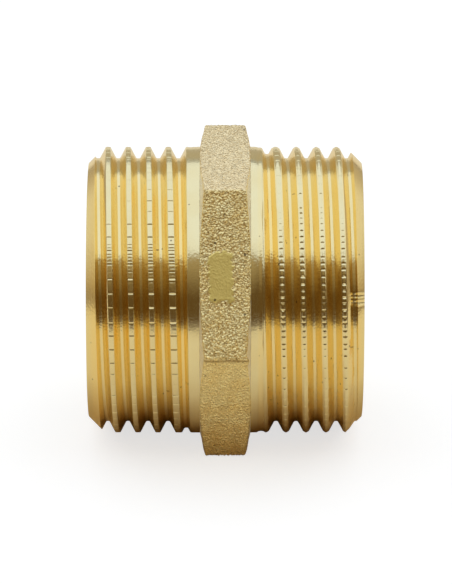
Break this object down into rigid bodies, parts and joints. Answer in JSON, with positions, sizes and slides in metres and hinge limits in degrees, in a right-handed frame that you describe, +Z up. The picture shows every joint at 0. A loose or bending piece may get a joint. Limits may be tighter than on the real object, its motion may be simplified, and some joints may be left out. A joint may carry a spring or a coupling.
{
  "type": "hex nipple",
  "caption": "Double-ended male pipe fitting: a hexagonal wrench collar between parallel-threaded ends, with a straight waterway through.",
  "frame": {"origin": "on the waterway's axis, at the middle of the hexagon", "axes": "+X along the waterway towards the right-hand end, +Y across the hexagon's corners and away from the viewer, +Z up at right angles to a pair of wrench flats; the object lies on its lower flat"},
  "size_m": [0.0314, 0.0384, 0.0334],
  "materials": {
    "forged_brass": "as forged and blasted, fine sparkling grain",
    "machined_brass": "bright turned"
  },
  "bodies": {
    "root": {"hex_collar": "forged_brass", "right_threaded_end": "machined_brass", "left_threaded_end": "machined_brass"}
  },
  "joints": []
}
